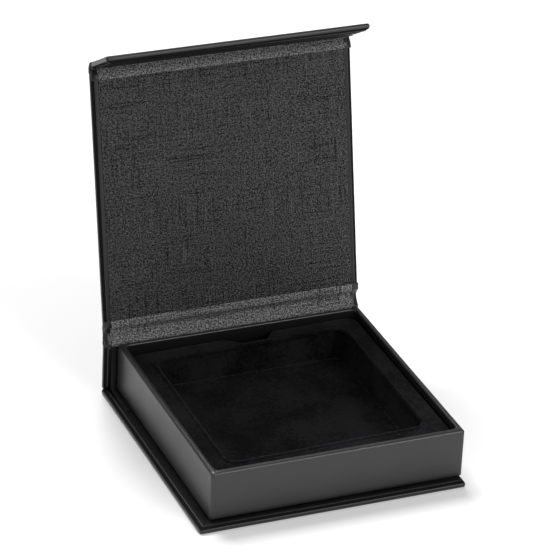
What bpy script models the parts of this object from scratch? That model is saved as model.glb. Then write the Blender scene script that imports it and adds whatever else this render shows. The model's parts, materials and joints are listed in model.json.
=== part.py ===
"""Book-style display case for one coin in a square capsule.

A rigid tray stands on the base of a hinged cover.  The cover is four boards (base, spine, lid and
front flap) held together by one sheet of paper, which is also its two hinges.  The flap closes over
the front of the tray by two small magnets.  A flocked insert with a square recess sits in the tray.

Frame: origin at the centre of the base's underside, +X to the right, +Y to the spine, +Z up.
The case is modelled as it stands open, with the lid leaning back and the flap half raised.
"""
from math import cos, pi, radians, sin

import bmesh
import bpy
from mathutils import Matrix, Vector

MM = 0.001

# Sheet materials
COVER_BOARD = 1.5 * MM
TRAY_BOARD = 1.2 * MM
PAPER = 0.12 * MM
STAY_PAPER = 0.1 * MM
GLUE = 0.02 * MM
SEAM = 0.05 * MM

# Tray
TRAY_UNDER_LIP = 9.0 * MM
TRAY_INNER_TURN_IN = 9.0 * MM
STAY_LEG = 8.0 * MM
STAY_END_GAP = 1.0 * MM
CORNER_SLIT = 0.1 * MM

# Cover, which the tray is glued on flush at the right
LEFT_MARGIN = 3.4 * MM
FRONT_MARGIN = 2.5 * MM
TURN_IN = 10.0 * MM
LINER_BORDER = 1.9 * MM
LINER_FOOT = 12.0 * MM
HEEL_GAP = 0.3 * MM
EDGE_ROUND = 0.3 * MM
TRAY_EDGE_ROUND = 0.45 * MM
FOLD_ROUND = 0.3 * MM

# Lid and flap
LID_CLEARANCE = 0.3 * MM
FLAP_CLEARANCE = 0.3 * MM
FLAP_FOOT_CLEARANCE = 0.3 * MM
SPINE_TO_LID_FOLD = 2.4 * MM
LID_FROM_FOLD = 1.9 * MM
LID_TO_FLAP_FOLD = 2.3 * MM
FLAP_FROM_FOLD = 2.5 * MM
LID_OPEN = radians(102.0)
FLAP_OPEN = radians(18.0)

# Magnets in the flap and steel discs in the tray's front wall
MAGNET_RADIUS = 4.0 * MM
MAGNET_THICKNESS = 1.0 * MM
MAGNET_POCKET_CLEARANCE = 0.1 * MM
MAGNET_FROM_SIDE = 15.7 * MM

# Flocked insert, whose square recess takes a 50 mm capsule
INSERT_CLEARANCE = 0.3 * MM
INSERT_DROP = 1.6 * MM
INSERT_FOOT_GAP = 0.05 * MM
INSERT_SHEET = 0.8 * MM
INSERT_CORNER = 3.6 * MM
INSERT_EDGE_ROUND = 1.2 * MM
INSERT_FLANGE = 5.9 * MM
RECESS_WIDTH = 52.4 * MM
RECESS_DEPTH = 8.2 * MM
UNDER_RECESS = 1.46 * MM
RECESS_CORNER = 2.6 * MM
RECESS_LIP_ROUND = 1.0 * MM
RECESS_FLOOR_ROUND = 1.3 * MM
RECESS_DRAFT = 0.5 * MM
NOTCH_WIDTH = 15.0 * MM
NOTCH_DEPTH = 3.3 * MM
NOTCH_OFFSET = 1.3 * MM

# Finger notch, along its width: how far in the insert's rear edge is drawn, with the long ramp at the left
NOTCH_SHAPE_SHARES = ((0.0, 0.0), (0.09, 0.1), (0.19, 0.4), (0.29, 0.78), (0.4, 1.0),
                      (0.76, 1.0), (0.83, 0.88), (0.89, 0.5), (0.94, 0.12), (1.0, 0.0))

CUT_OVERRUN = 1.0 * MM
ARC_STEPS = 3
CORNER_STEPS = 4
DISC_SIDES = 32
ROUND_SEGMENTS = 2
SHARP_ANGLE = radians(30.0)

# Build-up of the layers
LAYER = PAPER + GLUE
PANEL = COVER_BOARD + 2 * LAYER
LINED_PANEL = PANEL + LAYER
TRAY_SIDE_PACK = LAYER + STAY_PAPER + GLUE
TRAY_WALL = TRAY_SIDE_PACK + TRAY_BOARD + LAYER

# Sizes and places that follow
TRAY_WIDTH = RECESS_WIDTH + 2 * (INSERT_FLANGE + INSERT_CLEARANCE + TRAY_WALL)
TRAY_DEPTH = TRAY_WIDTH
TRAY_HEIGHT = LAYER + TRAY_BOARD + UNDER_RECESS + INSERT_SHEET + RECESS_DEPTH + INSERT_DROP
COVER_WIDTH = LEFT_MARGIN + TRAY_WIDTH
COVER_HALF = COVER_WIDTH / 2
TRAY_SHIFT = LEFT_MARGIN / 2
BASE_DEPTH = FRONT_MARGIN + TRAY_DEPTH + LAYER + GLUE + PANEL
BASE_FRONT = -BASE_DEPTH / 2
SPINE_OUTER = BASE_DEPTH / 2
SPINE_INNER = SPINE_OUTER - PANEL
TRAY_FRONT = BASE_FRONT + FRONT_MARGIN
TRAY_CENTRE_Y = TRAY_FRONT + TRAY_DEPTH / 2
TRAY_BOTTOM = PANEL + LAYER + GLUE
RIM = TRAY_BOTTOM + TRAY_HEIGHT
LID_FOLD_Z = RIM + LID_CLEARANCE + LINED_PANEL
SPINE_TOP = LID_FOLD_Z - SPINE_TO_LID_FOLD
LID_REACH = SPINE_OUTER - TRAY_FRONT + FLAP_CLEARANCE + LINED_PANEL
LID_END = LID_REACH - LID_TO_FLAP_FOLD
FLAP_REACH = LID_FOLD_Z - PANEL - FLAP_FOOT_CLEARANCE
TRAY_FLOOR = TRAY_BOTTOM + LAYER + TRAY_BOARD
INSERT_TOP = RIM - INSERT_DROP
MAGNET_FROM_FOLD = (FLAP_FROM_FOLD + FLAP_REACH) / 2
MAGNET_X = COVER_HALF - MAGNET_FROM_SIDE

BLACK_PAPER = ("black_paper", (0.012, 0.012, 0.013), 0.42, 0.0)
BLACK_LINEN = ("black_linen_paper", (0.018, 0.018, 0.019), 0.5, 0.0)
GREYBOARD = ("greyboard", (0.3, 0.29, 0.27), 0.9, 0.0)
STAY_TAPE = ("stay_paper", (0.55, 0.45, 0.32), 0.8, 0.0)
VELVET = ("black_velvet", (0.004, 0.004, 0.005), 1.0, 0.0)
NICKEL = ("nickel_plate", (0.6, 0.59, 0.57), 0.25, 1.0)


def start_clean():
    for old in list(bpy.data.objects):
        bpy.data.objects.remove(old, do_unlink=True)


def new_collection(name):
    collection = bpy.data.collections.new(name)
    bpy.context.scene.collection.children.link(collection)
    return collection


def material(look):
    name, colour, roughness, metallic = look
    found = bpy.data.materials.get(name)
    if found:
        return found
    made = bpy.data.materials.new(name)
    made.use_nodes = True
    shader = made.node_tree.nodes["Principled BSDF"]
    shader.inputs["Base Color"].default_value = (*colour, 1.0)
    shader.inputs["Roughness"].default_value = roughness
    shader.inputs["Metallic"].default_value = metallic
    return made


def add_object(name, bm, look, parent=None, collection=None):
    bmesh.ops.recalc_face_normals(bm, faces=bm.faces[:])
    mesh = bpy.data.meshes.new(name)
    bm.to_mesh(mesh)
    bm.free()
    made = bpy.data.objects.new(name, mesh)
    (collection or PART).objects.link(made)
    made.parent = parent
    if look:
        mesh.materials.append(material(look))
    return made


def empty(name, location, angle, parent=None):
    made = bpy.data.objects.new(name, None)
    PART.objects.link(made)
    made.location = location
    made.rotation_euler = (angle, 0.0, 0.0)
    made.parent = parent
    return made


def box_mesh(low, high):
    low, high = Vector(low), Vector(high)
    bm = bmesh.new()
    size = Matrix.Diagonal((*(high - low), 1.0))
    bmesh.ops.create_cube(bm, size=1.0, matrix=Matrix.Translation((low + high) / 2) @ size)
    return bm


def slice_at(bm, axis, value):
    """Adds an edge loop where the plane axis = value crosses the mesh."""
    normal = Vector((0.0, 0.0, 0.0))
    normal[axis] = 1.0
    everything = bm.verts[:] + bm.edges[:] + bm.faces[:]
    bmesh.ops.bisect_plane(bm, geom=everything, plane_co=normal * value, plane_no=normal)


def drop_faces(bm, unwanted):
    gone = [face for face in bm.faces if unwanted(face.calc_center_median(), face.normal)]
    bmesh.ops.delete(bm, geom=gone, context="FACES")


def round_edges(made, radius):
    bevel = made.modifiers.new("edge_round", "BEVEL")
    bevel.width = radius
    bevel.segments = ROUND_SEGMENTS
    bevel.limit_method = "ANGLE"
    bevel.angle_limit = SHARP_ANGLE


def thicken(made, thickness):
    """Gives a surface its thickness on the side that its faces turn away from."""
    solid = made.modifiers.new("sheet", "SOLIDIFY")
    solid.thickness = thickness
    solid.offset = -1.0
    solid.use_even_offset = True


def cut(made, cutter):
    boolean = made.modifiers.new("cut_" + cutter.name, "BOOLEAN")
    boolean.operation = "DIFFERENCE"
    boolean.object = cutter
    cutter.hide_render = True
    cutter.display_type = "WIRE"


def panel_board(name, parent, start, end):
    """A cover board in its panel's frame: outer face at z = 0, hinge side at low y."""
    half = COVER_HALF - LAYER
    made = add_object(name, box_mesh((-half, start, LAYER), (half, end, LAYER + COVER_BOARD)),
                      GREYBOARD, parent)
    round_edges(made, EDGE_ROUND - LAYER)
    return made


def panel_wrap(name, parent, start, end, closed_start=False, closed_end=False, slot_from=None):
    """Cover paper on one panel: outer face, wrapped edges and turn-ins on the inner face."""
    bm = box_mesh((-COVER_HALF, start, 0.0), (COVER_HALF, end, PANEL))
    bm.normal_update()
    for edge in (TURN_IN - COVER_HALF, COVER_HALF - TURN_IN):
        slice_at(bm, 0, edge)
    window_start = start + TURN_IN if closed_start else start
    window_end = end - TURN_IN if closed_end and slot_from is None else end
    for level in (window_start, window_end, slot_from):
        if level is not None and start < level < end:
            slice_at(bm, 1, level)

    def unwanted(centre, normal):
        if normal.y < -0.5:
            return not closed_start
        if normal.y > 0.5:
            return not closed_end
        if normal.z < 0.5:
            return False
        in_window = abs(centre.x) < COVER_HALF - TURN_IN and window_start < centre.y < window_end
        in_slot = slot_from is not None and centre.y > slot_from
        return in_window or in_slot

    drop_faces(bm, unwanted)
    made = add_object(name, bm, BLACK_PAPER, parent)
    round_edges(made, EDGE_ROUND)
    thicken(made, PAPER)
    return made


def flat_sheet(name, parent, start, end, look):
    """The lining paper on a panel's inner face."""
    half = COVER_HALF - LINER_BORDER
    low = (-half, start, PANEL + GLUE)
    high = (half, end, PANEL + LAYER)
    return add_object(name, box_mesh(low, high), look, parent)


def folded_strip(name, path, x_from, x_to, look):
    """Paper that follows a path of (y, z) points, with its thickness to the right of the path."""
    bm = bmesh.new()
    left = [bm.verts.new((x_from, y, z)) for y, z in path]
    edges = [bm.edges.new(pair) for pair in zip(left, left[1:])]
    bmesh.ops.extrude_edge_only(bm, edges=edges)
    new_verts = [vert for vert in bm.verts if vert not in left]
    bmesh.ops.translate(bm, verts=new_verts, vec=(x_to - x_from, 0.0, 0.0))
    made = add_object(name, bm, look)
    start, end = (Vector((0.0, *point)) for point in path[:2])
    first = min(made.data.polygons, key=lambda face: (face.center - (start + end) / 2).length)
    left_of_path = Vector((1.0, 0.0, 0.0)).cross(end - start)
    if first.normal.dot(left_of_path) < 0.0:
        made.data.flip_normals()
    round_edges(made, FOLD_ROUND)
    thicken(made, PAPER)
    return made


def on_panel(fold, angle, along, inward):
    """World (y, z) of a point on a panel that leaves its fold at the given angle above +Y."""
    return (fold[0] + along * cos(angle) - inward * sin(angle),
            fold[1] + along * sin(angle) + inward * cos(angle))


def disc(name, parent, centre, axis, look, radius=MAGNET_RADIUS, thickness=MAGNET_THICKNESS,
         collection=None):
    bm = bmesh.new()
    turn = Matrix.Rotation(pi / 2, 4, "X") if axis == "Y" else Matrix.Identity(4)
    bmesh.ops.create_cone(bm, cap_ends=True, segments=DISC_SIDES, radius1=radius, radius2=radius,
                          depth=thickness, matrix=turn)
    made = add_object(name, bm, look, parent, collection)
    made.location = centre
    made.data.set_sharp_from_angle(angle=SHARP_ANGLE)
    return made


def pocket(name, parent, centre, axis, wall):
    return disc(name, parent, centre, axis, None, MAGNET_RADIUS + MAGNET_POCKET_CLEARANCE,
                wall + 2 * CUT_OVERRUN, CUTTERS)


def build_base():
    panel_board("base_board", None, BASE_FRONT + LAYER, SPINE_INNER - HEEL_GAP)
    panel_wrap("base_wrap", None, BASE_FRONT, SPINE_OUTER, closed_start=True, closed_end=True,
               slot_from=SPINE_INNER)


def build_spine():
    frame = empty("spine_frame", (0.0, SPINE_OUTER, 0.0), pi / 2)
    panel_board("spine_board", frame, LAYER, SPINE_TOP)
    panel_wrap("spine_wrap", frame, PANEL + SEAM, SPINE_TOP)
    face_y = SPINE_INNER - LAYER
    face_z = PANEL + LAYER
    path = [(face_y - LINER_FOOT, face_z), (face_y, face_z), (face_y, SPINE_TOP)]
    folded_strip("spine_liner", path, LINER_BORDER - COVER_HALF, COVER_HALF - LINER_BORDER, BLACK_LINEN)


def build_lid(frame):
    panel_board("lid_board", frame, LID_FROM_FOLD, LID_END)
    panel_wrap("lid_wrap", frame, LID_FROM_FOLD, LID_END)
    flat_sheet("lid_liner", frame, LID_FROM_FOLD, LID_END, BLACK_LINEN)


def build_flap(frame):
    board = panel_board("flap_board", frame, FLAP_FROM_FOLD, FLAP_REACH - LAYER)
    panel_wrap("flap_wrap", frame, FLAP_FROM_FOLD, FLAP_REACH, closed_end=True)
    flat_sheet("flap_liner", frame, FLAP_FROM_FOLD, FLAP_REACH - LINER_BORDER, BLACK_PAPER)
    board_middle = LAYER + COVER_BOARD / 2
    magnet_middle = LAYER + COVER_BOARD - MAGNET_THICKNESS / 2
    for side, x in (("left", -MAGNET_X), ("right", MAGNET_X)):
        disc("flap_magnet_" + side, frame, (x, MAGNET_FROM_FOLD, magnet_middle), "Z", NICKEL)
        cut(board, pocket("flap_pocket_" + side, frame, (x, MAGNET_FROM_FOLD, board_middle),
                          "Z", COVER_BOARD))


def build_hinge(name, outer, groove):
    """The paper of one hinge: the cover paper, its turn-in at either side, and the lining."""
    folded_strip(name + "_paper", outer, -COVER_HALF, COVER_HALF, BLACK_PAPER)
    folded_strip(name + "_turn_in_left", groove(1), -COVER_HALF, TURN_IN - COVER_HALF, BLACK_PAPER)
    folded_strip(name + "_turn_in_right", groove(1), COVER_HALF - TURN_IN, COVER_HALF, BLACK_PAPER)
    folded_strip(name + "_liner", groove(2), LINER_BORDER - COVER_HALF, COVER_HALF - LINER_BORDER,
                 BLACK_LINEN)


def build_hinges():
    lid_fold = (SPINE_OUTER, LID_FOLD_Z)
    lid_angle = pi - LID_OPEN
    flap_fold = on_panel(lid_fold, lid_angle, LID_REACH, 0.0)
    flap_angle = lid_angle + pi / 2 - FLAP_OPEN

    def lid(along, inward):
        return on_panel(lid_fold, lid_angle, along, inward)

    def flap(along, inward):
        return on_panel(flap_fold, flap_angle, along, inward)

    def lid_groove(sheets):
        """Over the spine's top, up the outer paper and over the lid's end, as the last of some sheets."""
        lift = sheets * LAYER
        face = PANEL + lift - LAYER
        floor = lift + PAPER
        return [(SPINE_OUTER - face, SPINE_TOP + lift), (SPINE_OUTER - floor, SPINE_TOP + lift),
                (SPINE_OUTER - floor, LID_FOLD_Z), lid(LID_FROM_FOLD - lift, floor),
                lid(LID_FROM_FOLD - lift, face)]

    def flap_groove(sheets):
        """Over the lid's front end, along the outer paper and over the flap's end."""
        lift = sheets * LAYER
        face = PANEL + lift - LAYER
        floor = lift + PAPER
        return [lid(LID_END + lift, face), lid(LID_END + lift, floor), lid(LID_REACH - floor, floor),
                flap(FLAP_FROM_FOLD - lift, floor), flap(FLAP_FROM_FOLD - lift, face)]

    build_hinge("lid_hinge", [(SPINE_OUTER - PAPER, SPINE_TOP + SEAM), (SPINE_OUTER - PAPER, LID_FOLD_Z),
                              lid(LID_FROM_FOLD - SEAM, PAPER)], lid_groove)
    build_hinge("flap_hinge", [lid(LID_END + SEAM, PAPER), lid(LID_REACH - PAPER, PAPER),
                               flap(FLAP_FROM_FOLD - SEAM, PAPER)], flap_groove)


def build_tray_board(frame):
    """One folded blank: the floor and four walls, with a pocket for each steel disc."""
    half_x = TRAY_WIDTH / 2 - TRAY_SIDE_PACK
    half_y = TRAY_DEPTH / 2 - TRAY_SIDE_PACK
    bm = box_mesh((-half_x, -half_y, LAYER), (half_x, half_y, TRAY_HEIGHT - LAYER))
    bm.normal_update()
    drop_faces(bm, lambda centre, normal: normal.z > 0.5)
    board = add_object("tray_board", bm, GREYBOARD, frame)
    thicken(board, TRAY_BOARD)
    round_edges(board, TRAY_EDGE_ROUND)
    height = LID_FOLD_Z - MAGNET_FROM_FOLD - TRAY_BOTTOM
    wall_middle = -half_y + TRAY_BOARD / 2
    disc_middle = -half_y + MAGNET_THICKNESS / 2
    for side, x in (("left", -MAGNET_X), ("right", MAGNET_X)):
        place = x - TRAY_SHIFT
        disc("tray_disc_" + side, frame, (place, disc_middle, height), "Y", NICKEL)
        cut(board, pocket("tray_pocket_" + side, frame, (place, wall_middle, height), "Y", TRAY_BOARD))
    for i, (corner_x, corner_y) in enumerate(((-half_x, -half_y), (half_x, -half_y),
                                              (half_x, half_y), (-half_x, half_y))):
        cut(board, corner_slit(f"corner_slit_{i}", frame, corner_x, corner_y))


def corner_slit(name, frame, x, y):
    """Cutter for the open joint between two walls of the folded blank, from just above its floor."""
    reach = 2 * (TRAY_BOARD + CUT_OVERRUN)
    bm = box_mesh((-reach, -CORNER_SLIT / 2, 0.0), (reach, CORNER_SLIT / 2, TRAY_HEIGHT))
    cutter = add_object(name, bm, None, frame, CUTTERS)
    cutter.location = (x, y, LAYER + TRAY_BOARD + CORNER_SLIT)
    cutter.rotation_euler = (0.0, 0.0, pi / 4 if x * y > 0.0 else -pi / 4)
    return cutter


def build_corner_stays(frame):
    """Paper tape round each upright corner of the tray, under its wrap."""
    half_x = TRAY_WIDTH / 2 - LAYER
    half_y = TRAY_DEPTH / 2 - LAYER
    corners = (("front_left", -1, -1), ("front_right", 1, -1), ("back_right", 1, 1), ("back_left", -1, 1))
    for name, side_x, side_y in corners:
        x, y = side_x * half_x, side_y * half_y
        bm = box_mesh((min(x, x - side_x * STAY_LEG), min(y, y - side_y * STAY_LEG), LAYER + STAY_END_GAP),
                      (max(x, x - side_x * STAY_LEG), max(y, y - side_y * STAY_LEG),
                       TRAY_HEIGHT - LAYER - STAY_END_GAP))
        bm.normal_update()
        drop_faces(bm, lambda centre, normal: normal.x * side_x < 0.5 and normal.y * side_y < 0.5)
        stay = add_object("corner_stay_" + name, bm, STAY_TAPE, frame)
        face = stay.data.polygons[0]
        if face.normal.x * side_x + face.normal.y * side_y < 0.0:
            stay.data.flip_normals()
        round_edges(stay, TRAY_EDGE_ROUND - LAYER)
        thicken(stay, STAY_PAPER)


def ring(bm, half_x, half_y, z):
    return [bm.verts.new((x * half_x, y * half_y, z)) for x, y in ((-1, -1), (1, -1), (1, 1), (-1, 1))]


def join_rings(bm, rings):
    for lower, upper in zip(rings, rings[1:]):
        for i in range(len(lower)):
            j = (i + 1) % len(lower)
            bm.faces.new((lower[i], lower[j], upper[j], upper[i]))


def build_tray_wrap(frame):
    """Paper from a lip under the tray, up the outside, over the rim and down the inside."""
    half_x, half_y = TRAY_WIDTH / 2, TRAY_DEPTH / 2
    profile = ((TRAY_UNDER_LIP, 0.0), (0.0, 0.0), (0.0, TRAY_HEIGHT), (TRAY_WALL, TRAY_HEIGHT),
               (TRAY_WALL, TRAY_HEIGHT - TRAY_INNER_TURN_IN))
    bm = bmesh.new()
    join_rings(bm, [ring(bm, half_x - run, half_y - run, z) for run, z in profile])
    made = add_object("tray_wrap", bm, BLACK_PAPER, frame)
    outside = max(made.data.polygons, key=lambda face: face.center.x)
    if outside.normal.x < 0.0:
        made.data.flip_normals()
    round_edges(made, TRAY_EDGE_ROUND)
    thicken(made, PAPER)


def corner_arc(x, y, radius, start):
    turns = [start + step * pi / 2 / CORNER_STEPS for step in range(CORNER_STEPS + 1)]
    return [(x + radius * cos(turn), y + radius * sin(turn)) for turn in turns]


def rounded_loop(half_x, half_y, corner, notch_depth):
    """Plan points of a rounded rectangle, anticlockwise, with the notch's points on its rear side."""
    x, y = half_x - corner, half_y - corner
    points = corner_arc(x, -y, corner, -pi / 2) + corner_arc(x, y, corner, 0.0)
    for along, depth in reversed(NOTCH_SHAPE_SHARES):
        points.append((NOTCH_OFFSET + (along - 0.5) * NOTCH_WIDTH, half_y - depth * notch_depth))
    return points + corner_arc(-x, y, corner, pi / 2) + corner_arc(-x, -y, corner, pi)


def inset(points, distance):
    """The loop moved inward by a distance, measured square to its sides."""
    moved = []
    for i, point in enumerate(points):
        here = Vector(point)
        arriving = (here - Vector(points[i - 1])).normalized()
        leaving = (Vector(points[(i + 1) % len(points)]) - here).normalized()
        inward = (arriving + leaving).orthogonal().normalized()
        moved.append(here + inward * distance / inward.dot(arriving.orthogonal()))
    return moved


def quarter_round(radius):
    """(run, rise) pairs of a quarter round that starts upright and ends level."""
    turns = [step * pi / 2 / ARC_STEPS for step in range(ARC_STEPS + 1)]
    return [(radius * (1 - cos(turn)), radius * sin(turn)) for turn in turns]


def build_insert(frame):
    """Formed sheet with its flock: skirt, top, drawn recess, and a finger notch at the rear."""
    half_x = TRAY_WIDTH / 2 - TRAY_WALL - INSERT_CLEARANCE
    half_y = TRAY_DEPTH / 2 - TRAY_WALL - INSERT_CLEARANCE
    top = INSERT_TOP - TRAY_BOTTOM
    floor = top - RECESS_DEPTH
    rim = rounded_loop(half_x, half_y, INSERT_CORNER, NOTCH_DEPTH)
    mouth_half = RECESS_WIDTH / 2 + RECESS_LIP_ROUND
    mouth = rounded_loop(mouth_half, mouth_half, RECESS_CORNER + RECESS_LIP_ROUND, 0.0)
    levels = [(rim, 0.0, TRAY_FLOOR - TRAY_BOTTOM + INSERT_FOOT_GAP)]
    for run, rise in quarter_round(INSERT_EDGE_ROUND):
        levels.append((rim, run, top - INSERT_EDGE_ROUND + rise))
    for run, rise in reversed(quarter_round(RECESS_LIP_ROUND)):
        levels.append((mouth, RECESS_LIP_ROUND - run, top - RECESS_LIP_ROUND + rise))
    for run, rise in quarter_round(RECESS_FLOOR_ROUND):
        levels.append((mouth, RECESS_LIP_ROUND + RECESS_DRAFT + run, floor + RECESS_FLOOR_ROUND - rise))
    bm = bmesh.new()
    rings = [[bm.verts.new((*point, z)) for point in inset(loop, run)] for loop, run, z in levels]
    join_rings(bm, rings)
    bm.faces.new(rings[-1])
    made = add_object("velvet_insert", bm, VELVET, frame)
    floor_face = max(made.data.polygons, key=lambda face: len(face.vertices))
    if floor_face.normal.z < 0.0:
        made.data.flip_normals()
    made.data.shade_smooth()
    made.data.set_sharp_from_angle(angle=SHARP_ANGLE)
    thicken(made, INSERT_SHEET)


start_clean()
PART = new_collection("coin_display_case")
CUTTERS = new_collection("cutters")

build_base()
build_spine()
lid_pivot = empty("lid_pivot", (0.0, SPINE_OUTER, LID_FOLD_Z), pi - LID_OPEN)
build_lid(lid_pivot)
flap_pivot = empty("flap_pivot", (0.0, LID_REACH, 0.0), pi / 2 - FLAP_OPEN, lid_pivot)
build_flap(flap_pivot)
build_hinges()
tray_frame = empty("tray_frame", (TRAY_SHIFT, TRAY_CENTRE_Y, TRAY_BOTTOM), 0.0)
build_tray_board(tray_frame)
build_corner_stays(tray_frame)
build_tray_wrap(tray_frame)
build_insert(tray_frame)
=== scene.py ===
"""Looks of the book-style coin display case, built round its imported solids.

Every paper skin of the case, the flocked insert, both paper hinges and the cover's four boards are
modelled again here as fine meshes.  The tray's board, tapes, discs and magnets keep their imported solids,
and every material is procedural.

Frame: metres, origin under the middle of the base, +X to the right, +Y to the spine, +Z up.
"""
import json
from math import atan2, cos, exp, pi, radians, sin, sqrt

import bmesh
import bpy
from mathutils import Matrix, Vector, noise

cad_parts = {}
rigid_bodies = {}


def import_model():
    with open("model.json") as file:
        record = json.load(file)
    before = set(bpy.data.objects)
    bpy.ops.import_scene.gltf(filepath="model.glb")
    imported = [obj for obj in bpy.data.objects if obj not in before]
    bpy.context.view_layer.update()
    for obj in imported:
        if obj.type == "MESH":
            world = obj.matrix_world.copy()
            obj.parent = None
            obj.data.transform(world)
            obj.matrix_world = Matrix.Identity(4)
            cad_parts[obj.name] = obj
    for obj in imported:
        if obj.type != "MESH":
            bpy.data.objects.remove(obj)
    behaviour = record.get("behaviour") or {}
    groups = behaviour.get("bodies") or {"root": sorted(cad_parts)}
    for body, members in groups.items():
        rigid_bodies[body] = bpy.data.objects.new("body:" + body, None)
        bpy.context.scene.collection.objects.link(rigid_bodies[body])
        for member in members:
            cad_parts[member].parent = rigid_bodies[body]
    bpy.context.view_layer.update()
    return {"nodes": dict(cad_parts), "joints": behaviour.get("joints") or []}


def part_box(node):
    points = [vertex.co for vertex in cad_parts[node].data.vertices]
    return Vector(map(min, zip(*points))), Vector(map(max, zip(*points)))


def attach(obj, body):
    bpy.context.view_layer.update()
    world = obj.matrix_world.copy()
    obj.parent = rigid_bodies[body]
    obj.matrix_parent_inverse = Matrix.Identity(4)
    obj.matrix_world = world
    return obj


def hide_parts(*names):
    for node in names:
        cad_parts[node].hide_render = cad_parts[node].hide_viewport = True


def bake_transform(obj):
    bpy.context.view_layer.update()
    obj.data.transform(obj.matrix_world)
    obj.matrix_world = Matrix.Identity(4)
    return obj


for leftover in list(bpy.data.objects):
    bpy.data.objects.remove(leftover, do_unlink=True)
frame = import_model()

MM = 0.001

# Paper and its edges: LAYER is a sheet with its glue, and HOLD keeps a ring close beside a bend
PAPER = 0.12 * MM
LAYER = 0.14 * MM
TURN_IN = 10.0 * MM
BEAD = 0.35 * MM
CREST = 0.07 * MM
CREST_FROM_EDGE = 0.95 * MM
COVER_WAVE = 0.04 * MM
COVER_WAVE_LENGTH = 9.0 * MM
BEAD_STEPS = 5
HOLD = 0.25 * MM
PANEL_CORNER = 0.55 * MM
SHEET_EDGE = 0.05 * MM
GRID = 1.5 * MM
FINE_GRID = 0.75 * MM
CORNER_STEPS = 6

# Section of a wrapped edge in millimetres: (inset, depth under the inner face) in the pressed groove, then
# (inset, share of the panel's thickness) down the rounded side
GROOVE_SECTION = ((0.82, 0.12), (0.6, 0.2), (0.38, 0.3), (0.16, 0.42), (0.05, 0.55))
SIDE_SECTION = ((-0.04, 0.6), (-0.1, 0.48), (-0.1, 0.36), (-0.06, 0.24), (0.05, 0.12), (0.2, 0.04),
                (0.42, 0.0))

# Bands between those rings that carry the groove's painted shade
GROOVE_BANDS = (3, 7)

# Crushed inner edge of a board, the bevel of its outer one, and how far it stays inside its cover
CRUSH = 1.4 * MM
CRUSH_DROP = 0.95 * MM
CORE_EDGE = 0.3 * MM
CORE_INSET = 0.35 * MM

# Tray paper
TRAY_CORNER = 0.6 * MM
TRAY_INNER_CORNER = 1.4 * MM
RIM_OUTER_ROUND = 1.1 * MM
RIM_OUTER_DROP = 0.7 * MM
RIM_INNER_ROUND = 0.35 * MM
RIM_STEPS = 8
FOOT_ROUND = 0.4 * MM
WALL_ROWS = 16
UNDER_LIP = 9.0 * MM
INNER_TURN_IN = 9.0 * MM
WAVE = 0.06 * MM
WAVE_LENGTH = 14.0 * MM

# Small crease in the tray's front wall, from its rim down to the left
CREASE_X = 6.6 * MM
CREASE_LEAN = 0.9
CREASE_LENGTH = 3.2 * MM
CREASE_WIDTH = 0.5 * MM
CREASE_DEPTH = 0.14 * MM

# Flocked insert
INSERT_CLEARANCE = 0.3 * MM
INSERT_SAG = 1.3 * MM
INSERT_CORNER = 3.6 * MM
INSERT_EDGE_ROUND = 1.1 * MM
FLOCK_SHEET = 0.5 * MM
RECESS_HALF = 26.2 * MM
RECESS_DEPTH = 8.2 * MM
RECESS_CORNER = 2.6 * MM
RECESS_LIP_ROUND = 1.0 * MM
RECESS_FLOOR_ROUND = 0.5 * MM
RECESS_DRAFT = 0.5 * MM
INSERT_SIDE_POINTS = 90
FLOOR_RING_SHARES = (0.94, 0.75, 0.5, 0.25, 0.02)
NOTCH_LEFT = -6.2 * MM
NOTCH_RIGHT = 8.8 * MM
NOTCH_LEFT_RAMP = 6.0 * MM
NOTCH_RIGHT_RAMP = 3.6 * MM
NOTCH_DEPTH = 3.3 * MM

# Camera, from a fit to corner points of the photograph
CAMERA_PLACE = Vector((-301.6, -692.2, 450.9)) * MM
CAMERA_AZIMUTH = radians(-23.395)
CAMERA_ELEVATION = radians(28.185)
CAMERA_ROLL = radians(2.781)
SENSOR = 36.0
FOCAL_PIXELS = 3426.7
IMAGE_PIXELS = 560.0
CLIP_START = 0.01

# Places of the panels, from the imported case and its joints
JOINTS = {joint["name"]: joint for joint in frame["joints"]}
LID_FOLD = Vector(JOINTS["lid_hinge"]["pos_m"])
FLAP_FOLD = Vector(JOINTS["flap_hinge"]["pos_m"])
LID_ANGLE = atan2(FLAP_FOLD.z - LID_FOLD.z, FLAP_FOLD.y - LID_FOLD.y)
FLAP_ANGLE = LID_ANGLE + radians(JOINTS["flap_hinge"]["range_deg"][1])
BASE_AXES = Matrix.Identity(4)
SPINE_AXES = Matrix.Translation((0.0, LID_FOLD.y, 0.0)) @ Matrix.Rotation(pi / 2, 4, "X")
LID_AXES = Matrix.Translation(LID_FOLD) @ Matrix.Rotation(LID_ANGLE, 4, "X")
FLAP_AXES = Matrix.Translation(FLAP_FOLD) @ Matrix.Rotation(FLAP_ANGLE, 4, "X")
FLAP_FOLD_ALONG = (FLAP_FOLD - LID_FOLD).length

# Hinge sheets: how far the outer one laps onto each panel, how deep it sinks there, and half its bend
HINGE_LAP = 0.5 * MM
HINGE_SINK = 0.02 * MM
HINGE_BEND = 0.5 * MM
PATH_STEPS = 5

# Lining sheets
LINING_LAP = 2.0 * MM
FLAP_LINING_START = 0.5 * MM
SPINE_LINING_GAP = 0.12 * MM
SPINE_LINING_BEND = 0.6 * MM

# Depth of each surface's grain
LINEN_DEPTH = 0.19 * MM
BENT_LINEN_DEPTH = 0.1 * MM
LEATHER_DEPTH = 0.012 * MM
GROOVE_DEPTH = 0.01 * MM
PILE_DEPTH = 0.08 * MM
BOARD_DEPTH = 0.03 * MM
TAPE_DEPTH = 0.01 * MM
PLATE_DEPTH = 0.002 * MM

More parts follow.
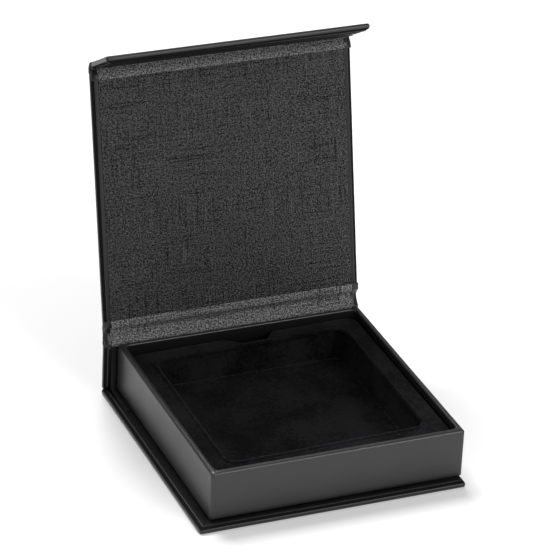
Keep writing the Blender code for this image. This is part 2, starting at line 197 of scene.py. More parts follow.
# Stage and light
FLOOR_SIZE = 6.0
FLOOR_TONE = (0.8, 0.8, 0.8, 1.0)
FLOOR_GAIN = 0.2
FLOOR_GLOW = 0.04
WORLD_LEVEL = 0.28
WHITE = (1.0, 1.0, 1.0, 1.0)
LIGHT_TARGET = (0.0, 0.0, 0.03)

# Name, place, size and power in watts
SOFTBOXES = (("front_softbox", (0.38, -0.68, 0.58), (0.6, 0.75), 5.2),
             ("back_softbox", (-0.05, 0.45, 0.8), (0.4, 0.3), 5.5),
             ("left_softbox", (-0.8, 0.15, 0.3), (0.5, 0.4), 1.3))


# Shader nodes

class Shader:
    """A material's nodes, added with plain calls."""

    def __init__(self, name, roughness, **settings):
        self.material = bpy.data.materials.new(name)
        self.material.use_nodes = True
        self.tree = self.material.node_tree
        self.surface = self.tree.nodes["Principled BSDF"]
        self.surface.inputs["Roughness"].default_value = roughness
        for key, value in settings.items():
            self.surface.inputs[key.replace("_", " ")].default_value = value

    def feed(self, socket, value):
        if isinstance(value, bpy.types.NodeSocket):
            self.tree.links.new(value, socket)
        else:
            socket.default_value = value

    def add(self, kind, inputs, **settings):
        made = self.tree.nodes.new("ShaderNode" + kind)
        for key, value in settings.items():
            setattr(made, key, value)
        for key, value in inputs.items():
            self.feed(made.inputs[key], value)
        return made

    def math(self, operation, a, b=0.0):
        return self.add("Math", {0: a, 1: b}, operation=operation).outputs[0]

    def remap(self, value, low, high, to_low, to_high):
        inputs = {"Value": value, "From Min": low, "From Max": high, "To Min": to_low, "To Max": to_high}
        return self.add("MapRange", inputs).outputs[0]

    def stretch(self, vector, x, y, z=1.0):
        return self.add("Mapping", {"Vector": vector, "Scale": (x, y, z)}).outputs[0]

    def noise(self, vector, scale, detail=2.0):
        return self.add("TexNoise", {"Vector": vector, "Scale": scale, "Detail": detail}).outputs[0]

    def sheet_place(self):
        """Place on the flat sheet, in millimetres."""
        return self.add("UVMap", {}, uv_map="sheet").outputs[0]

    def solid_place(self):
        """Place in the piece's own axes, in metres."""
        return self.add("TexCoord", {}).outputs["Object"]

    def mix_colour(self, factor, first, second):
        made = self.add("Mix", {0: factor, 6: (*first, 1.0), 7: (*second, 1.0)}, data_type="RGBA")
        return made.outputs[2]

    def colour(self, value):
        self.feed(self.surface.inputs["Base Color"], value)

    def tones(self, value, low, high, dark, light):
        """Colours the surface from dark to light as a value goes from low to high."""
        share = self.remap(value, low, high, 0.0, 1.0)
        self.colour(self.mix_colour(share, dark, light))
        return share

    def roughness(self, value):
        self.feed(self.surface.inputs["Roughness"], value)

    def bump(self, height, distance):
        made = self.add("Bump", {"Height": height, "Distance": distance, "Strength": 1.0})
        self.feed(self.surface.inputs["Normal"], made.outputs[0])


def linen_height(shader, place):
    """Embossed threads both ways, with a few long ones that stand out."""
    weft = shader.noise(shader.stretch(place, 1.2, 3.2), 1.0, 2.0)
    warp = shader.noise(shader.stretch(place, 3.0, 1.6), 1.0, 2.0)
    threads = shader.math("MAXIMUM", weft, warp)
    knots = shader.noise(place, 2.8, 1.0)
    raised = shader.remap(threads, 0.42, 0.68, 0.0, 1.0)
    height = shader.math("ADD", raised, shader.remap(knots, 0.3, 0.7, -0.7, 0.7))
    for x, y in ((0.06, 2.2), (1.8, 0.08)):
        streak = shader.noise(shader.stretch(place, x, y), 1.0, 3.0)
        height = shader.math("SUBTRACT", height, shader.remap(streak, 0.4, 0.32, 0.0, 0.5))
        height = shader.math("ADD", height, shader.remap(streak, 0.6, 0.68, 0.0, 0.4))
    return height


def linen_material(name, tone, depth):
    """Black paper with a linen emboss: the thread tops are coloured lighter and the hollows darker, a painted
    highlight on the tops and painted shade in the hollows.
    """
    shader = Shader(name, 0.4)
    height = linen_height(shader, shader.sheet_place())
    shader.bump(height, depth)
    # Painted highlight and painted shade: the base colour runs from dark in the hollows to light on the
    # thread tops
    dark = tuple(channel * 0.2 for channel in tone)
    light = tuple(channel * 2.4 for channel in tone)
    share = shader.tones(height, 0.0, 1.1, dark, light)
    shader.roughness(shader.remap(share, 0.0, 1.0, 0.65, 0.3))
    shader.feed(shader.surface.inputs["Specular IOR Level"], shader.remap(share, 0.0, 1.0, 0.2, 1.5))
    return shader.material


def smooth_paper(name, tone, roughness, gloss=0.5):
    """Satin black paper with a faint leather grain."""
    shader = Shader(name, roughness, Specular_IOR_Level=gloss)
    place = shader.sheet_place()
    cells = shader.add("TexVoronoi", {"Vector": place, "Scale": 2.6}, feature="DISTANCE_TO_EDGE").outputs[0]
    grain = shader.noise(place, 4.0, 3.0)
    height = shader.math("ADD", shader.remap(cells, 0.0, 0.16, 0.0, 0.5), grain)
    shader.bump(height, LEATHER_DEPTH)
    cloud = shader.noise(place, 0.11, 3.0)
    dark = tuple(channel * 0.85 for channel in tone)
    light = tuple(channel * 1.15 for channel in tone)
    shader.tones(cloud, 0.3, 0.7, dark, light)
    shader.roughness(shader.remap(cloud, 0.3, 0.7, roughness - 0.03, roughness + 0.03))
    return shader.material


def groove_shade_material():
    """The pressed groove along a wrapped edge, coloured near-black as painted shade in it."""
    shader = Shader("groove_painted_shade", 0.8, Specular_IOR_Level=0.1)
    grain = shader.noise(shader.sheet_place(), 3.0, 3.0)
    shader.bump(grain, GROOVE_DEPTH)
    shader.tones(grain, 0.4, 0.65, (0.002, 0.002, 0.002), (0.01, 0.01, 0.01))
    return shader.material


def velvet_material():
    """Black flock: almost no gloss, a faint sheen, and a pile that lies in patches."""
    shader = Shader("black_velvet", 1.0, Specular_IOR_Level=0.1, Sheen_Weight=0.04, Sheen_Roughness=0.4)
    place = shader.solid_place()
    pile = shader.noise(place, 3200.0, 2.0)
    patches = shader.noise(place, 90.0, 4.0)
    tufts = shader.noise(place, 1100.0, 3.0)
    height = shader.math("ADD", pile, tufts)
    shader.bump(height, PILE_DEPTH)
    mixed = shader.math("ADD", shader.math("MULTIPLY", patches, 0.6), shader.math("MULTIPLY", tufts, 0.4))
    shader.tones(mixed, 0.42, 0.58, (0.002, 0.002, 0.0026), (0.01, 0.01, 0.0112))
    return shader.material


def pile_highlight_material():
    """Flock on a bend, coloured lighter than the rest of the flock: a painted highlight along the bend."""
    shader = Shader("velvet_painted_highlight", 1.0, Specular_IOR_Level=0.1, Sheen_Weight=0.06, Sheen_Roughness=0.4)
    place = shader.solid_place()
    tufts = shader.noise(place, 1500.0, 3.0)
    shader.bump(tufts, PILE_DEPTH)
    shader.tones(tufts, 0.4, 0.6, (0.005, 0.005, 0.0058), (0.034, 0.034, 0.036))
    return shader.material


def board_material():
    """Raw greyboard with recycled fibres."""
    shader = Shader("greyboard", 0.92)
    place = shader.solid_place()
    fibres = shader.noise(shader.stretch(place, 1.0, 4.0, 4.0), 900.0, 4.0)
    specks = shader.noise(place, 2200.0, 2.0)
    shader.bump(shader.math("ADD", fibres, specks), BOARD_DEPTH)
    mixed = shader.math("ADD", shader.math("MULTIPLY", fibres, 0.6), shader.math("MULTIPLY", specks, 0.4))
    shader.tones(mixed, 0.35, 0.65, (0.2, 0.19, 0.17), (0.4, 0.38, 0.34))
    return shader.material


def tape_material():
    """Brown gummed paper."""
    shader = Shader("stay_paper", 0.75)
    place = shader.solid_place()
    fibres = shader.noise(shader.stretch(place, 1.0, 1.0, 5.0), 1500.0, 4.0)
    shader.bump(fibres, TAPE_DEPTH)
    shader.tones(fibres, 0.35, 0.65, (0.42, 0.31, 0.18), (0.6, 0.47, 0.3))
    return shader.material


def nickel_material():
    """Tumbled nickel plate."""
    shader = Shader("nickel_plate", 0.28, Metallic=1.0)
    place = shader.solid_place()
    marks = shader.noise(place, 1800.0, 3.0)
    shader.bump(marks, PLATE_DEPTH)
    shader.tones(marks, 0.35, 0.65, (0.5, 0.49, 0.47), (0.66, 0.65, 0.63))
    shader.roughness(shader.remap(marks, 0.3, 0.7, 0.2, 0.36))
    return shader.material


COVER_PAPER = smooth_paper("cover_paper", (0.008, 0.008, 0.0085), roughness=0.36)
# Near-black dull paper for the pressed grooves: painted shade
GROOVE_SHADE = groove_shade_material()
LINEN = linen_material("lining_paper", (0.018, 0.018, 0.019), LINEN_DEPTH)
# The hinge linings use a copy of the lining about five times lighter: painted light on the bands that face
# the lamps
PAINTED_LIGHT_LINEN = linen_material("painted_light_lining_paper", (0.1, 0.1, 0.103), BENT_LINEN_DEPTH)
TRAY_PAPER = smooth_paper("tray_paper", (0.014, 0.014, 0.0144), roughness=0.34, gloss=0.6)
# A darker, duller copy of the tray paper for the tray's inner walls: painted shade inside the tray
TRAY_INSIDE_SHADE = smooth_paper("tray_inside_shaded_paper", (0.002, 0.002, 0.0021), roughness=0.7, gloss=0.25)
FLAP_PAPER = smooth_paper("flap_lining_paper", (0.005, 0.005, 0.0052), roughness=0.6, gloss=0.12)
# The spine lining is coloured as near-black plain paper: painted shade on the spine's inner face behind the
# tray
SPINE_SHADE_PAPER = smooth_paper("spine_lining_shaded_paper", (0.003, 0.003, 0.0031), roughness=0.6, gloss=0.25)
VELVET = velvet_material()
# Lighter flock for single bands on the insert's bends: painted highlight
PILE_HIGHLIGHT = pile_highlight_material()
GREYBOARD = board_material()
STAY_TAPE = tape_material()
NICKEL = nickel_material()


# Mesh helpers

def local_box(node, axes):
    """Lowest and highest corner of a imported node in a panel's own axes."""
    back = axes.inverted()
    points = [back @ vert.co for vert in frame["nodes"][node].data.vertices]
    low = Vector([min(point[axis] for point in points) for axis in range(3)])
    high = Vector([max(point[axis] for point in points) for axis in range(3)])
    return low, high


def outline(half_x, half_y, radius, counts):
    """Plan points of a rounded rectangle, anticlockwise, with the same number on each side at any size."""
    points = []
    radius = max(radius, SHEET_EDGE)
    for i, (side_x, side_y) in enumerate(((1, -1), (1, 1), (-1, 1), (-1, -1))):
        x, y = side_x * (half_x - radius), side_y * (half_y - radius)
        for step in range(CORNER_STEPS + 1):
            turn = (i - 1 + step / CORNER_STEPS) * pi / 2
            points.append(Vector((x + radius * cos(turn), y + radius * sin(turn))))
        corner_end = points[-1]
        after = ((1, 1), (-1, 1), (-1, -1), (1, -1))[i]
        turn = i * pi / 2
        next_start = Vector((after[0] * (half_x - radius) + radius * cos(turn),
                             after[1] * (half_y - radius) + radius * sin(turn)))
        count = counts[1 - i % 2]
        points += [corner_end.lerp(next_start, k / count) for k in range(1, count)]
    return points


def flat_insets(profile):
    """Where each ring of a profile lies on the flat sheet, counted from its last ring outward."""
    insets = [profile[-1][0]]
    for ring, inner in zip(reversed(profile[:-1]), reversed(profile[1:])):
        insets.append(insets[-1] - (Vector(ring[:2]) - Vector(inner[:2])).length)
    return insets[::-1]


def finish_mesh(name, bm, looks, body_axes):
    mesh = bpy.data.meshes.new(name)
    bm.to_mesh(mesh)
    bm.free()
    for look in looks:
        mesh.materials.append(look)
    mesh.shade_smooth()
    made = bpy.data.objects.new(name, mesh)
    bpy.context.scene.collection.objects.link(made)
    made.matrix_world = body_axes
    return made


def thicken(made, thickness):
    solid = made.modifiers.new("sheet", "SOLIDIFY")
    solid.thickness = thickness
    solid.offset = -1.0
    bpy.context.view_layer.objects.active = made
    bpy.ops.object.modifier_apply(modifier=solid.name)


def ring_shell(name, half_x, half_y, profile, look, axes, filled, thickness, shape=None, grid=GRID,
               bands=(0, 0), second=None):
    """Skin through rings of (inset, height, corner radius), with the last one filled if asked.

    The bands from bands[0] up to bands[1] have the second look.
    """
    bm = bmesh.new()
    layer = bm.loops.layers.uv.new("sheet")
    counts = (max(2, round(2 * half_x / grid)), max(2, round(2 * half_y / grid)))
    flats = {}
    rings = []
    for (inset, height, radius), flat in zip(profile, flat_insets(profile)):
        ring = []
        flat_points = outline(half_x - flat, half_y - flat, radius + inset - flat, counts)
        for point, flat_point in zip(outline(half_x - inset, half_y - inset, radius, counts), flat_points):
            place = Vector((*point, height))
            ring.append(bm.verts.new(shape(place) if shape else place))
            flats[ring[-1]] = flat_point / MM
        rings.append(ring)
    for band, (ring, inner) in enumerate(zip(rings, rings[1:])):
        for i in range(len(ring)):
            j = (i + 1) % len(ring)
            face = bm.faces.new((ring[i], inner[i], inner[j], ring[j]))
            face.material_index = 1 if bands[0] <= band < bands[1] else 0
    if filled:
        bm.faces.new(rings[-1])
    if not thickness:
        bm.faces.new(rings[0])
    for face in bm.faces:
        for loop in face.loops:
            loop[layer].uv = flats[loop.vert]
    bmesh.ops.recalc_face_normals(bm, faces=bm.faces[:])
    made = finish_mesh(name, bm, [look, second] if second else [look], axes)
    if thickness:
        thicken(made, thickness)
    return made


def quarter(inset, height, radius, start, steps=BEAD_STEPS):
    """(inset, height) pairs of a quarter round about a centre, from one heading to the next."""
    turns = [start + step * pi / 2 / steps for step in range(steps + 1)]
    return [(inset - radius * cos(turn), height + radius * sin(turn)) for turn in turns]


def edge_profile(thickness, reach):
    """Across a wrapped board from its inner face to its outer face: crest, pressed groove, rounded side."""
    profile = [(reach, thickness), (CREST_FROM_EDGE + HOLD, thickness), (CREST_FROM_EDGE, thickness + CREST)]
    profile += [(inset * MM, thickness - drop * MM) for inset, drop in GROOVE_SECTION]
    profile += [(inset * MM, share * thickness) for inset, share in SIDE_SECTION]
    profile += [(BEAD + HOLD, 0.0)]
    return [(inset, height, max(PANEL_CORNER - inset, SHEET_EDGE)) for inset, height in profile]


def board_core(panel, axes, body):
    """A greyboard panel with its inner edges crushed soft by wrapping, just inside its cover."""
    node = panel + "_board"
    low, high = local_box(node, axes)
    cover_low, cover_high = local_box(panel + "_wrap", axes)
    for axis in (0, 1):
        low[axis] = max(low[axis], cover_low[axis] + CORE_INSET)
        high[axis] = min(high[axis], cover_high[axis] - CORE_INSET)
    middle, half = (low + high) / 2, (high - low) / 2
    thickness = high.z - low.z
    profile = [(CORE_EDGE, 0.0, SHEET_EDGE), (0.0, CORE_EDGE, SHEET_EDGE),
               (0.0, thickness - CRUSH_DROP, SHEET_EDGE), (CRUSH / 3, thickness - CRUSH_DROP / 2, SHEET_EDGE),
               (CRUSH, thickness, SHEET_EDGE), (CRUSH + HOLD, thickness, SHEET_EDGE)]
    place = axes @ Matrix.Translation((middle.x, middle.y, low.z))
    made = ring_shell(panel + "_core", half.x, half.y, profile, GREYBOARD, place, True, 0.0)
    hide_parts(node)
    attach(made, body)


def wavy(amount, length, seed):
    """A shape function that dents a sheet softly, towards its middle."""
    def shape(place):
        level = 0.5 + 0.5 * noise.noise(place / length + Vector((seed, 0.0, 0.0)))
        pull = Vector((place.x, place.y, 0.0)).normalized()
        return place - pull * amount * level
    return shape


def panel_cover(panel, axes, body):
    """The cover paper round one board."""
    name, node = panel + "_cover", panel + "_wrap"
    box_low, box_high = local_box(node, axes)
    middle = (box_low + box_high) / 2
    half = (box_high - box_low) / 2
    place = axes @ Matrix.Translation((middle.x, middle.y, box_low.z))
    reach = min(TURN_IN, half.y - MM)
    profile = edge_profile(2 * half.z, reach)
    dents = wavy(COVER_WAVE, COVER_WAVE_LENGTH, len(name))
    # The groove bands take the near-black groove look, painted shade
    made = ring_shell(name, half.x, half.y, profile, COVER_PAPER, place, True, PAPER, dents,
                      bands=GROOVE_BANDS, second=GROOVE_SHADE)
    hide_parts(node)
    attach(made, body)


def lining(name, node, axes, body, look, from_start=0.0, from_end=0.0):
    """A flat lining sheet on a board's inner face, short of the hinges where their strips go on."""
    low, high = local_box(node, axes)
    low.y += from_start
    high.y -= from_end
    middle, half = (low + high) / 2, (high - low) / 2
    place = axes @ Matrix.Translation((middle.x, middle.y, 0.0))
    profile = [(0.0, low.z, SHEET_EDGE), (0.0, high.z - SHEET_EDGE, SHEET_EDGE),
               (SHEET_EDGE, high.z, SHEET_EDGE), (HOLD, high.z, SHEET_EDGE)]
    made = ring_shell(name, half.x, half.y, profile, look, place, True, 0.0)
    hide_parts(node)
    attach(made, body)


def smooth_path(points, steps):
    """A Catmull-Rom curve through (y, z) points."""
    ends = [points[0] * 2 - points[1]] + points + [points[-1] * 2 - points[-2]]
    path = []
    for a, b, c, d in zip(ends, ends[1:], ends[2:], ends[3:]):
        for step in range(steps):
            t = step / steps
            path.append(0.5 * (2 * b + (c - a) * t + (2 * a - 5 * b + 4 * c - d) * t * t
                               + (3 * b - a - 3 * c + d) * t ** 3))
    return path + [points[-1]]


def strip(name, path, x_from, x_to, look, side):
    """A sheet that follows a path of (y, z) points and has its thickness to one side of it."""
    bm = bmesh.new()
    layer = bm.loops.layers.uv.new("sheet")
    columns = max(2, round((x_to - x_from) / GRID))
    along = [0.0]
    for a, b in zip(path, path[1:]):
        along.append(along[-1] + (b - a).length)
    across = [x_from + (x_to - x_from) * k / columns for k in range(columns + 1)]
    rows = [[bm.verts.new((x, *point)) for x in across] for point in path]
    for i in range(len(rows) - 1):
        for k in range(columns):
            face = bm.faces.new((rows[i][k], rows[i][k + 1], rows[i + 1][k + 1], rows[i + 1][k]))
            for loop, row in zip(face.loops, (i, i, i + 1, i + 1)):
                loop[layer].uv = (loop.vert.co.x / MM, along[row] / MM)
    if side < 0:
        bmesh.ops.reverse_faces(bm, faces=bm.faces[:])
    made = finish_mesh(name, bm, [look], Matrix.Identity(4))
    thicken(made, PAPER)
    return made


# Pieces

def on(axes, along, inward):
    """(y, z) in the row frame of a point on a panel."""
    place = axes @ Vector((0.0, along, inward))
    return Vector((place.y, place.z))


def build_covers():
    panels = (("base", BASE_AXES, "case"), ("spine", SPINE_AXES, "case"),
              ("lid", LID_AXES, "lid"), ("flap", FLAP_AXES, "flap"))
    for panel in panels:
        panel_cover(*panel)
    for panel in panels:
        board_core(*panel)


def build_linings():
    lining("lid_lining", "lid_liner", LID_AXES, "lid", LINEN, LINING_LAP, LINING_LAP)
    lining("flap_lining", "flap_liner", FLAP_AXES, "flap", FLAP_PAPER, FLAP_LINING_START)
    low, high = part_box("spine_liner")
    foot, face = low.z + SPINE_LINING_GAP, high.y - SPINE_LINING_GAP
    path = [Vector((low.y, foot)), Vector((face - SPINE_LINING_BEND, foot)),
            Vector((face, foot + SPINE_LINING_BEND)), Vector((face, high.z))]
    # The spine lining takes the near-black paper, painted shade
    made = strip("spine_lining", path, low.x, high.x, SPINE_SHADE_PAPER, 1)
    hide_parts("spine_liner")
    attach(made, "case")


def creased(place):
    """Dents the tray's front wall along a short slanting line under the rim."""
    drop = -place.z
    along = place.x + drop * CREASE_LEAN - CREASE_X
    fade = max(0.0, 1.0 - drop / CREASE_LENGTH)
    return CREASE_DEPTH * fade * exp(-(along / CREASE_WIDTH) ** 2)


def build_tray():
    low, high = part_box("tray_wrap")
    middle, half = (low + high) / 2, (high - low) / 2
    height = high.z - low.z
    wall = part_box("velvet_insert")[0].x - INSERT_CLEARANCE - low.x
    profile = [(UNDER_LIP, 0.0, SHEET_EDGE), (FOOT_ROUND + HOLD, 0.0, SHEET_EDGE)]
    for inset, z in quarter(FOOT_ROUND, FOOT_ROUND, FOOT_ROUND, -pi / 2):
        profile.append((inset, z, max(TRAY_CORNER - inset, SHEET_EDGE)))
    flat = height - FOOT_ROUND - RIM_OUTER_DROP
    for row in range(1, WALL_ROWS):
        profile.append((0.0, FOOT_ROUND + flat * row / WALL_ROWS, TRAY_CORNER))
    for inset, z in quarter(RIM_OUTER_ROUND, 0.0, RIM_OUTER_ROUND, 0.0, RIM_STEPS):
        profile.append((inset, height - RIM_OUTER_DROP * (1 - z / RIM_OUTER_ROUND), TRAY_CORNER))
    for inset, z in reversed(quarter(RIM_INNER_ROUND, height - RIM_INNER_ROUND, RIM_INNER_ROUND, 0.0)):
        profile.append((wall - inset, z, TRAY_INNER_CORNER))
    profile.append((wall, height - INNER_TURN_IN, TRAY_INNER_CORNER))
    soft = wavy(WAVE, WAVE_LENGTH, 3.0)

    def shape(place):
        shaped = soft(place)
        if place.y < HOLD - half.y:
            shaped.y += creased(Vector((place.x, place.y, place.z - height)))
        return shaped

    place = Matrix.Translation((middle.x, middle.y, low.z))
    # The inner walls take the darker copy of the tray paper, painted shade
    inside = len(profile) - 2
    made = ring_shell("tray_paper", half.x, half.y, profile, TRAY_PAPER, place, False, PAPER, shape,
                      FINE_GRID, (inside, len(profile)), TRAY_INSIDE_SHADE)
    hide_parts("tray_wrap")
    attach(made, "case")


def smooth_step(share):
    share = min(max(share, 0.0), 1.0)
    return share * share * (3 - 2 * share)


def notch_depth(x):
    left = smooth_step((x - NOTCH_LEFT) / NOTCH_LEFT_RAMP)
    right = smooth_step((NOTCH_RIGHT - x) / NOTCH_RIGHT_RAMP)
    return NOTCH_DEPTH * left * right


def notched(points, half_y, inset):
    """Draws a plan loop's rear side in for the finger notch, with its inset square to the notch."""
    step = SHEET_EDGE
    moved = []
    for point in points:
        point = point.copy()
        if point.y > half_y - INSERT_CORNER:
            slope = (notch_depth(point.x + step) - notch_depth(point.x - step)) / (2 * step)
            point.y -= notch_depth(point.x) + inset * (sqrt(1 + slope * slope) - 1)
        moved.append(point)
    return moved


def build_insert():
    """The flocked insert: skirt, rounded top edge with its notch, flange, recess lip, walls and floor."""
    low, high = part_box("velvet_insert")
    middle, half = (low + high) / 2, (high - low) / 2
    top = high.z - low.z
    floor = top - RECESS_DEPTH
    mouth = RECESS_HALF + RECESS_LIP_ROUND
    foot = RECESS_HALF - RECESS_DRAFT
    rings = [(half.x, 0.0, INSERT_CORNER, 0.0), (half.x, top / 2, INSERT_CORNER, 0.0)]
    for inset, z in quarter(INSERT_EDGE_ROUND, top - INSERT_EDGE_ROUND, INSERT_EDGE_ROUND, 0.0):
        rings.append((half.x - inset, z, INSERT_CORNER - inset, inset))
    rings.append((mouth + HOLD / 2, top, RECESS_CORNER + RECESS_LIP_ROUND, None))
    lip = len(rings)
    for inset, z in reversed(quarter(0.0, top - RECESS_LIP_ROUND, RECESS_LIP_ROUND, 0.0)):
        rings.append((RECESS_HALF - inset, z, RECESS_CORNER - inset, None))
    for inset, z in quarter(0.0, 0.0, RECESS_FLOOR_ROUND, 0.0):
        rings.append((foot - RECESS_FLOOR_ROUND - inset, floor + RECESS_FLOOR_ROUND - z,
                      max(RECESS_CORNER - RECESS_FLOOR_ROUND - inset, SHEET_EDGE), None))
    rings += [(foot * share, floor, SHEET_EDGE, None) for share in FLOOR_RING_SHARES]
    bm = bmesh.new()
    made_rings = []
    for half_size, z, radius, inset in rings:
        points = outline(half_size, half_size, radius, (INSERT_SIDE_POINTS, INSERT_SIDE_POINTS))
        if inset is not None:
            points = notched(points, half_size, inset)
        ring = []
        for point in points:
            sag = INSERT_SAG * (half.x - point.x) / (2 * half.x) * z / top
            ring.append(bm.verts.new((*point, z - sag)))
        made_rings.append(ring)
    # Painted highlight: one band of the lip's bend and one of the floor's take the lighter flock
    bends = (lip + 3, len(rings) - len(FLOOR_RING_SHARES) - 3)
    for band, (ring, inner) in enumerate(zip(made_rings, made_rings[1:])):
        for i in range(len(ring)):
            j = (i + 1) % len(ring)
            face = bm.faces.new((ring[i], inner[i], inner[j], ring[j]))
            face.material_index = 1 if band in bends else 0
    bm.faces.new(made_rings[-1])
    bmesh.ops.recalc_face_normals(bm, faces=bm.faces[:])
    place = Matrix.Translation((middle.x, middle.y, low.z))
    made = finish_mesh("flocked_insert", bm, [VELVET, PILE_HIGHLIGHT], place)
    thicken(made, FLOCK_SHEET)
    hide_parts("velvet_insert")
    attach(made, "case")


def build_hinge(name, outer, inner):
    """Cover paper outside, its turn-ins and the lining inside, bent round the joint at rest."""
    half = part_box(name + "_paper")[1].x
    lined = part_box(name + "_liner")[1].x
    plan = (("_cover", outer, -half, half, COVER_PAPER, -1, "_paper", "black_paper"),
            ("_edge_left", inner(1), -half, TURN_IN - half, COVER_PAPER, 1, "_turn_in_left", "black_paper"),
            ("_edge_right", inner(1), half - TURN_IN, half, COVER_PAPER, 1, "_turn_in_right", "black_paper"),
            # The hinge lining takes the lighter copy of the lining, painted light
            ("_lining", inner(2), -lined, lined, PAINTED_LIGHT_LINEN, 1, "_liner", "black_linen"))
    for suffix, points, x_from, x_to, look, side, node, slot in plan:
        made = strip(name + suffix, smooth_path(points, PATH_STEPS), x_from, x_to, look, side)
        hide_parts(name + node)
        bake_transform(made)


def build_hinges():
    lid_low, lid_high = local_box("lid_wrap", LID_AXES)
    flap_low = local_box("flap_wrap", FLAP_AXES)[0]
    spine_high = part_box("spine_wrap")[1]
    thick = lid_high.z
    back, top = spine_high.y, spine_high.z

    def lid_groove(sheets):
        """Over the spine's top, slanting back into the groove, then over the lid's lower end."""
        lift = sheets * LAYER
        return [Vector((back - thick - lift, top - HINGE_LAP)),
                Vector((back - thick + 0.15 * MM - lift, top + 0.1 * MM + lift)),
                Vector((back - thick + 0.75 * MM - lift, top + 0.75 * MM + lift)),
                Vector((back - 0.45 * MM - lift, top + 1.5 * MM + lift)),
                Vector((back - 0.1 * MM - lift, top + 2.3 * MM + lift)),
                Vector((back - 0.05 * MM - lift, top + 2.9 * MM)),
                on(LID_AXES, lid_low.y - 0.15 * MM - lift, 1.0 * MM),
                on(LID_AXES, lid_low.y + 0.1 * MM - lift, thick + lift - 0.3 * MM),
                on(LID_AXES, lid_low.y + 0.45 * MM, thick + lift - 0.06 * MM),
                on(LID_AXES, lid_low.y + LINING_LAP, thick + lift)]

    def flap_groove(sheets):
        """Over the lid's front end, across the groove and over the flap's end."""
        lift = sheets * LAYER
        return [on(LID_AXES, lid_high.y - LINING_LAP, thick + lift),
                on(LID_AXES, lid_high.y - 1.2 * MM, thick + lift - 0.04 * MM),
                on(LID_AXES, lid_high.y - 0.5 * MM, thick + lift - 0.28 * MM),
                on(LID_AXES, lid_high.y + 0.05 * MM + lift, thick + lift - 0.75 * MM),
                on(LID_AXES, lid_high.y + 0.5 * MM + lift, 0.8 * MM + lift),
                on(LID_AXES, FLAP_FOLD_ALONG - 0.75 * MM - lift, 0.65 * MM + lift),
                on(FLAP_AXES, 0.9 * MM, 0.55 * MM + lift),
                on(FLAP_AXES, flap_low.y - 0.35 * MM - lift, 0.8 * MM),
                on(FLAP_AXES, flap_low.y + 0.05 * MM - lift, thick + lift - 0.3 * MM),
                on(FLAP_AXES, flap_low.y + HINGE_LAP, thick + lift)]

    outer = [Vector((back - HINGE_SINK, top - HINGE_LAP)), Vector((back, top + 0.6 * MM)),
             Vector((back, LID_FOLD.z - HINGE_BEND)), on(LID_AXES, HINGE_BEND, 0.0),
             on(LID_AXES, lid_low.y - 0.6 * MM, 0.0), on(LID_AXES, lid_low.y + HINGE_LAP, HINGE_SINK)]
    build_hinge("lid_hinge", outer, lid_groove)
    outer = [on(LID_AXES, lid_high.y - HINGE_LAP, HINGE_SINK), on(LID_AXES, lid_high.y + 0.3 * MM, 0.0),
             on(LID_AXES, FLAP_FOLD_ALONG - 1.0 * MM, 0.2 * MM), on(FLAP_AXES, 1.1 * MM, 0.2 * MM),
             on(FLAP_AXES, flap_low.y - 0.3 * MM, 0.0), on(FLAP_AXES, flap_low.y + HINGE_LAP, HINGE_SINK)]
    build_hinge("flap_hinge", outer, flap_groove)


def dress_packed_nodes():
    looks = {"board": GREYBOARD, "stay": STAY_TAPE, "disc": NICKEL, "magnet": NICKEL}
    for name, node in frame["nodes"].items():
        for word, look in looks.items():
            if word in name:
                node.data.materials[0] = look


# Stage, light and camera

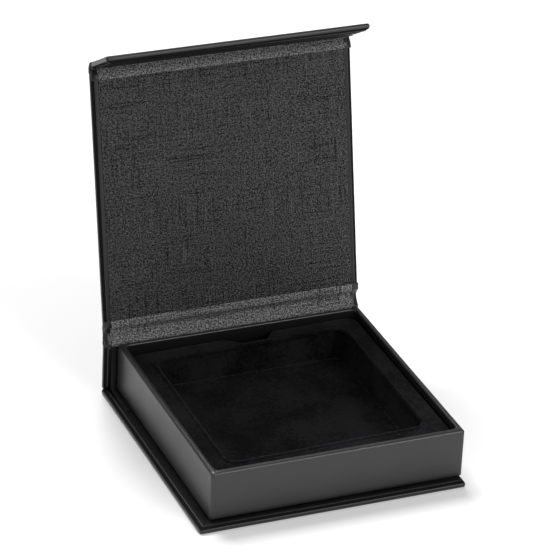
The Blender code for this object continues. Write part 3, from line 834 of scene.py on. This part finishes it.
def build_floor():
    bpy.ops.mesh.primitive_plane_add(size=FLOOR_SIZE)
    floor = bpy.context.object
    floor.name = "floor"
    shader = Shader("white_floor", 0.9)
    tree = shader.tree
    shader.colour(FLOOR_TONE)
    path = tree.nodes.new("ShaderNodeLightPath")
    seen = shader.math("MAXIMUM", path.outputs["Is Camera Ray"], path.outputs["Is Glossy Ray"])
    seen = shader.math("MAXIMUM", seen, path.outputs["Is Transmission Ray"])
    gain = shader.add("BsdfDiffuse", {"Color": shader.math("MULTIPLY", seen, FLOOR_GAIN)})
    strength = shader.math("MULTIPLY", seen, FLOOR_GLOW)
    glow = shader.add("Emission", {"Color": WHITE, "Strength": strength})
    lift = shader.add("AddShader", {0: gain.outputs[0], 1: glow.outputs[0]})
    total = shader.add("AddShader", {0: shader.surface.outputs[0], 1: lift.outputs[0]})
    tree.links.new(total.outputs[0], tree.nodes["Material Output"].inputs["Surface"])
    floor.data.materials.append(shader.material)


def build_world():
    world = bpy.data.worlds.new("studio")
    bpy.context.scene.world = world
    world.use_nodes = True
    nodes, links = world.node_tree.nodes, world.node_tree.links
    background = nodes["Background"]
    path = nodes.new("ShaderNodeLightPath")
    strength = nodes.new("ShaderNodeMapRange")
    strength.inputs["To Min"].default_value = WORLD_LEVEL
    strength.inputs["To Max"].default_value = 1.0
    links.new(path.outputs["Is Camera Ray"], strength.inputs["Value"])
    links.new(strength.outputs[0], background.inputs["Strength"])
    background.inputs["Color"].default_value = WHITE


def softbox(name, place, size, power):
    light = bpy.data.lights.new(name, "AREA")
    light.shape = "RECTANGLE"
    light.size, light.size_y = size
    light.energy = power
    made = bpy.data.objects.new(name, light)
    made.visible_camera = False
    bpy.context.scene.collection.objects.link(made)
    made.location = place
    made.rotation_euler = (Vector(LIGHT_TARGET) - Vector(place)).to_track_quat("-Z", "Y").to_euler()


def build_lights():
    for values in SOFTBOXES:
        softbox(*values)


def build_camera():
    data = bpy.data.cameras.new("camera")
    data.sensor_width = SENSOR
    data.lens = FOCAL_PIXELS / IMAGE_PIXELS * SENSOR
    data.clip_start = CLIP_START
    camera = bpy.data.objects.new("camera", data)
    bpy.context.scene.collection.objects.link(camera)
    az, el = CAMERA_AZIMUTH, CAMERA_ELEVATION
    back = Vector((sin(az) * cos(el), -cos(az) * cos(el), sin(el)))
    right = (-back).cross(Vector((0.0, 0.0, 1.0))).normalized()
    up = back.cross(right)
    roll_right = right * cos(CAMERA_ROLL) + up * sin(CAMERA_ROLL)
    roll_up = up * cos(CAMERA_ROLL) - right * sin(CAMERA_ROLL)
    axes = Matrix((roll_right, roll_up, back)).transposed().to_4x4()
    camera.matrix_world = Matrix.Translation(CAMERA_PLACE) @ axes
    bpy.context.scene.camera = camera


build_covers()
build_linings()
build_tray()
build_insert()
build_hinges()
dress_packed_nodes()
build_floor()
build_world()
build_lights()
build_camera()
bpy.context.scene.view_settings.view_transform = "Standard"
